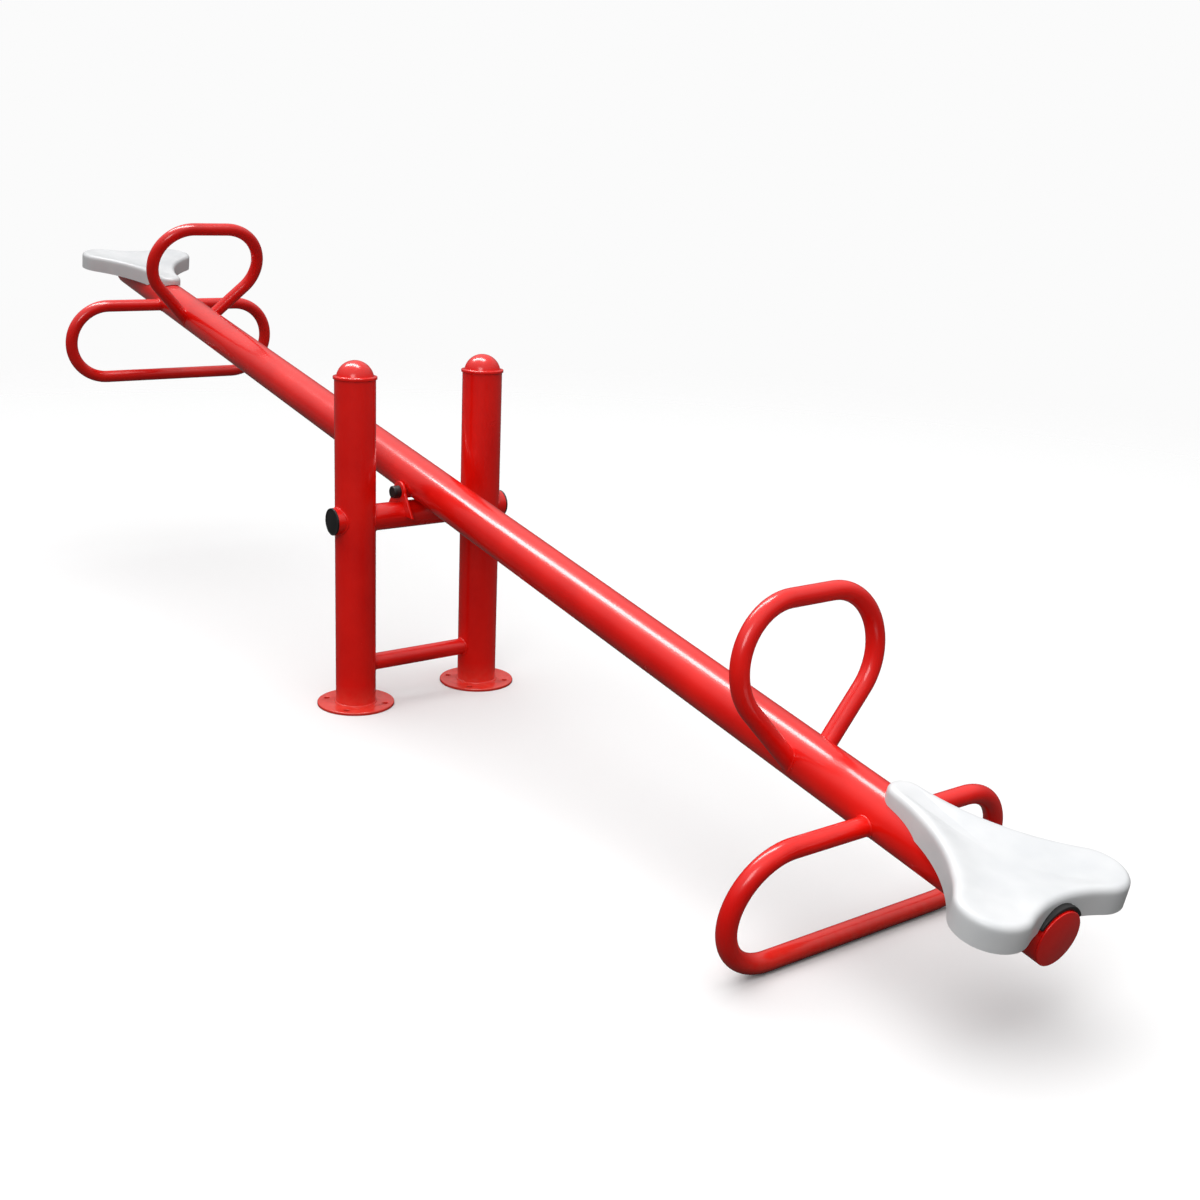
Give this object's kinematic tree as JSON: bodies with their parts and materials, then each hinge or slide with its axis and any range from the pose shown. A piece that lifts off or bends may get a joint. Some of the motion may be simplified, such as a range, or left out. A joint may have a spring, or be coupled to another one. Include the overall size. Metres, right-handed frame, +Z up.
{
  "type": "seesaw",
  "caption": "Two-seat playground seesaw: a long steel tube pivots between two floor-mounted posts, with a moulded seat, hoop handle and footrest loop at each end.",
  "frame": {"origin": "on the ground midway between the two posts, below the pivot", "axes": "+X towards the seat that is down at rest, +Y from the left post to the right post along the pivot, +Z up"},
  "size_m": [4.5152, 0.7948, 1.2764],
  "materials": {
    "red_enamel": "gloss",
    "black_plastic": "satin",
    "white_plastic": "gloss",
    "zinc_steel": "zinc plated",
    "ground_steel": "ground",
    "bronze": "machined",
    "brass_insert": "machined"
  },
  "bodies": {
    "frame": {"left_post": "red_enamel", "right_post": "red_enamel", "left_post_cap": "red_enamel", "right_post_cap": "red_enamel", "left_base_flange": "red_enamel", "right_base_flange": "red_enamel", "lower_crossbar": "red_enamel", "cross_tube": "red_enamel", "left_tube_plug": "black_plastic", "right_tube_plug": "black_plastic", "left_pivot_ear": "red_enamel", "right_pivot_ear": "red_enamel", "pivot_bolt": "zinc_steel", "pivot_nut": "zinc_steel", "pivot_washers": "zinc_steel", "pivot_nut_caps": "black_plastic", "pivot_sleeve": "ground_steel"},
    "beam": {"main_beam": "red_enamel", "near_beam_end_plate": "red_enamel", "far_beam_end_plate": "red_enamel", "pivot_housing": "red_enamel", "left_pivot_bush": "bronze", "right_pivot_bush": "bronze", "near_footrest": "red_enamel", "near_handle": "red_enamel", "near_seat": "white_plastic", "near_seat_plate": "red_enamel", "near_seat_ribs": "red_enamel", "near_seat_bolts": "zinc_steel", "near_seat_washers": "zinc_steel", "near_seat_inserts": "brass_insert", "far_footrest": "red_enamel", "far_handle": "red_enamel", "far_seat": "white_plastic", "far_seat_plate": "red_enamel", "far_seat_ribs": "red_enamel", "far_seat_bolts": "zinc_steel", "far_seat_washers": "zinc_steel", "far_seat_inserts": "brass_insert"}
  },
  "joints": [
    {"name": "beam_tilt", "type": "hinge", "parent": "frame", "child": "beam", "pos_m": [0, 0, 0.609], "axis": [0, -1, 0], "range_deg": [0, 21.21]}
  ]
}
